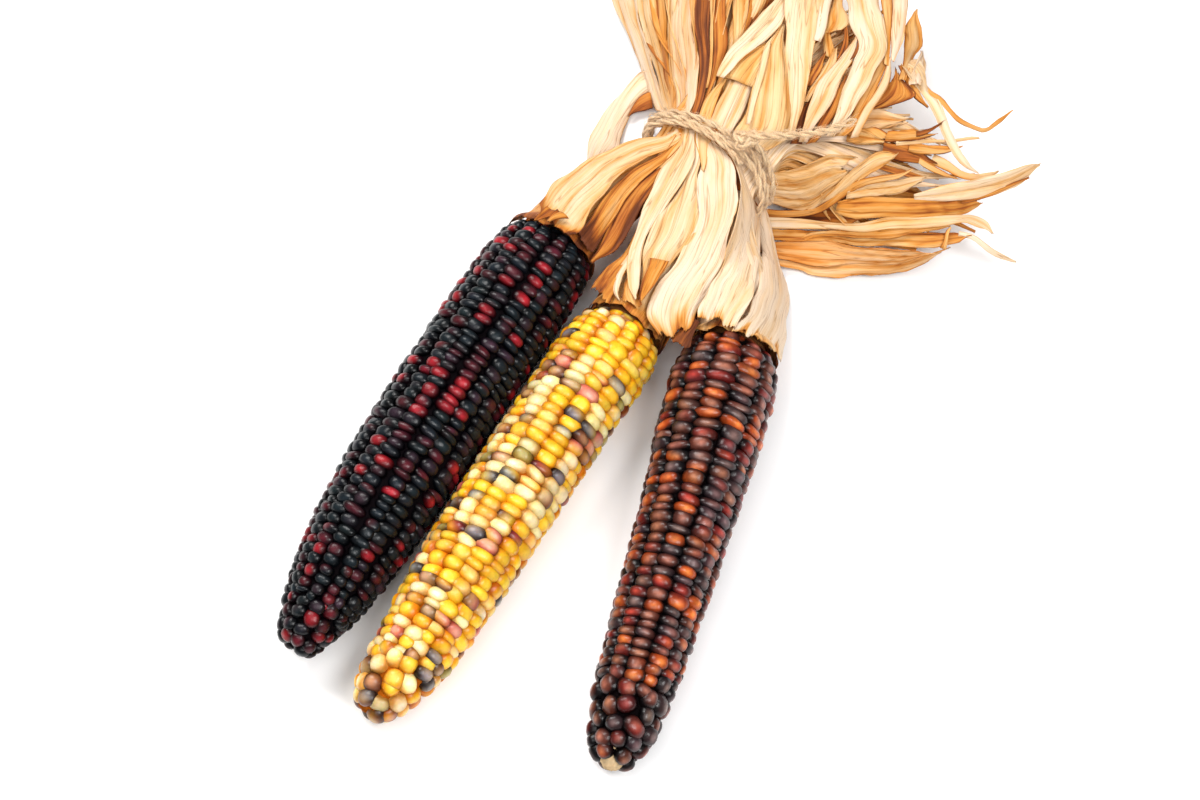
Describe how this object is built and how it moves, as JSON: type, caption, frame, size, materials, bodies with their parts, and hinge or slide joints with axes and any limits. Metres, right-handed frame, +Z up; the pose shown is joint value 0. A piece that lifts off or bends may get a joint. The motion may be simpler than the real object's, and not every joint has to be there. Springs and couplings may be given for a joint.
{
  "type": "tied bunch of ornamental corn ears",
  "caption": "Dried ornamental corn ears in dark blue, yellow and brown, lying down, their pulled-back husks gathered in a jute tie and fanned out behind it as a tail.",
  "frame": {"origin": "on the surface the bunch lies on, under the middle of its box, measured without the twine's free end", "axes": "+Z up; the ears point along -Y and the husk tails along +Y; +X is to the right seen from the ears' tips"},
  "size_m": [0.201, 0.3858, 0.0605],
  "materials": {
    "black_kernels": "glossy dried flint kernels, blue-black with scattered crimson ones",
    "yellow_kernels": "glossy dried flint kernels, yellow with cream, pink, grey-blue and brown ones",
    "brown_kernels": "glossy dried flint kernels, purple-brown with orange-brown crowns",
    "husk_cream": "dry, ribbed, matt husk, pale cream",
    "husk_tan": "dry, ribbed, matt husk, tan to orange-brown",
    "jute": "rough two-ply jute twine"
  },
  "bodies": {
    "root": {"left_ear": "black_kernels", "left_husk_leaf_01": "husk_tan", "left_husk_leaf_02": "husk_tan", "left_husk_leaf_03": "husk_tan", "left_husk_leaf_04": "husk_tan", "left_husk_leaf_05": "husk_tan", "left_husk_leaf_06": "husk_tan", "left_husk_leaf_07": "husk_cream", "left_husk_leaf_08": "husk_cream", "left_husk_leaf_09": "husk_cream", "left_husk_leaf_10": "husk_cream", "left_husk_leaf_11": "husk_cream", "left_husk_leaf_12": "husk_cream", "left_husk_leaf_13": "husk_tan", "middle_ear": "yellow_kernels", "middle_husk_leaf_01": "husk_tan", "middle_husk_leaf_02": "husk_tan", "middle_husk_leaf_03": "husk_tan", "middle_husk_leaf_04": "husk_tan", "middle_husk_leaf_05": "husk_tan", "middle_husk_leaf_06": "husk_tan", "middle_husk_leaf_07": "husk_cream", "middle_husk_leaf_08": "husk_cream", "middle_husk_leaf_09": "husk_cream", "middle_husk_leaf_10": "husk_cream", "middle_husk_leaf_11": "husk_cream", "middle_husk_leaf_12": "husk_cream", "middle_husk_leaf_13": "husk_tan", "right_ear": "brown_kernels", "right_husk_leaf_01": "husk_tan", "right_husk_leaf_02": "husk_tan", "right_husk_leaf_03": "husk_tan", "right_husk_leaf_04": "husk_tan", "right_husk_leaf_05": "husk_tan", "right_husk_leaf_06": "husk_tan", "right_husk_leaf_07": "husk_cream", "right_husk_leaf_08": "husk_cream", "right_husk_leaf_09": "husk_cream", "right_husk_leaf_10": "husk_cream", "right_husk_leaf_11": "husk_cream", "right_husk_leaf_12": "husk_cream", "right_husk_leaf_13": "husk_tan", "twine_loose_end": "jute", "twine_wraps": "jute"}
  },
  "joints": []
}
